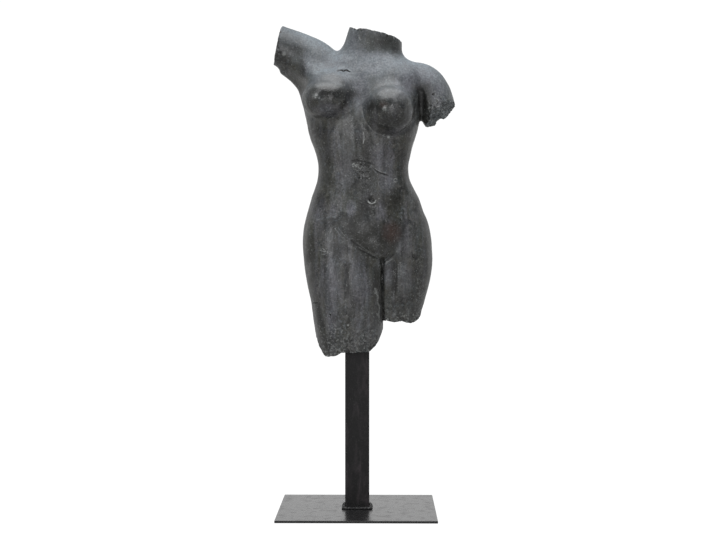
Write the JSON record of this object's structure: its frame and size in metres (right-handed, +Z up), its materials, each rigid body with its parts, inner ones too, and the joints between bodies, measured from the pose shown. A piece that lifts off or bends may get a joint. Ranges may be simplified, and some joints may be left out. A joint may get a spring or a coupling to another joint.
{
  "type": "torso sculpture on a stand",
  "caption": "Classical female torso, dark cast stone, broken at neck, arms and thighs, on a square steel post welded to a flat square plate.",
  "frame": {"origin": "centre of the plate's underside, on the post's axis", "axes": "+Z up, -Y towards the viewer the figure faces, +X to the viewer's right"},
  "size_m": [0.3043, 0.26, 0.81],
  "materials": {
    "cast_stone": "satin dark patina over resin-bonded stone, chalky and greener at the top",
    "painted_steel": "satin black paint with faint smudges",
    "plate_steel": "satin black paint, smooth",
    "weld": "satin black paint over a lumpy bead"
  },
  "bodies": {
    "root": {"torso": "cast_stone", "post": "painted_steel", "base_plate": "plate_steel", "weld_bead": "weld"}
  },
  "joints": []
}
